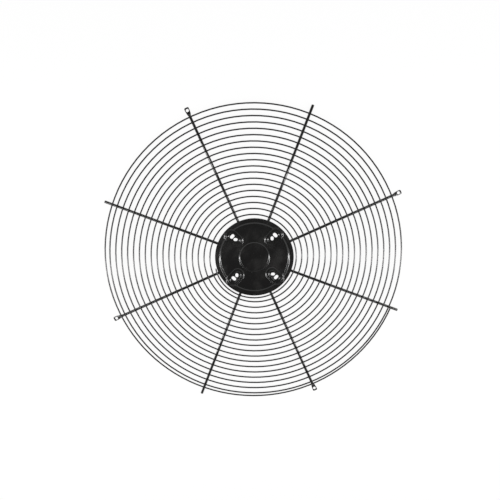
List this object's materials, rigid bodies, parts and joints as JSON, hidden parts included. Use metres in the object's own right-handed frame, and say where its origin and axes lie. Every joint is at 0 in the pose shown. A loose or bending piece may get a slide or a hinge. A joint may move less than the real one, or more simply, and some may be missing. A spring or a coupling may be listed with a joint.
{
  "type": "wire fan guard",
  "caption": "Round flat fan guard: one spiral wire on radial spokes with screw eyes, and a dished hub plate with slotted seats that carries the fan motor.",
  "frame": {"origin": "on the hub's axis, at the level of the eyes' backs, where the guard lies on the fan's mounting ring", "axes": "+Z along the hub's axis, out of the guard's front face; the coil's outer end lies on the plain spoke between +X and -Y"},
  "size_m": [0.4992, 0.5015, 0.0069],
  "materials": {
    "wire": "gloss black paint on steel wire",
    "plate": "gloss black paint on pressed steel sheet"
  },
  "bodies": {
    "root": {"hub_plate": "plate", "spiral_wire": "wire", "eyelet_spoke_1": "wire", "eyelet_spoke_2": "wire", "eyelet_spoke_3": "wire", "eyelet_spoke_4": "wire", "plain_spoke_1": "wire", "plain_spoke_2": "wire", "plain_spoke_3": "wire", "plain_spoke_4": "wire"}
  },
  "joints": []
}
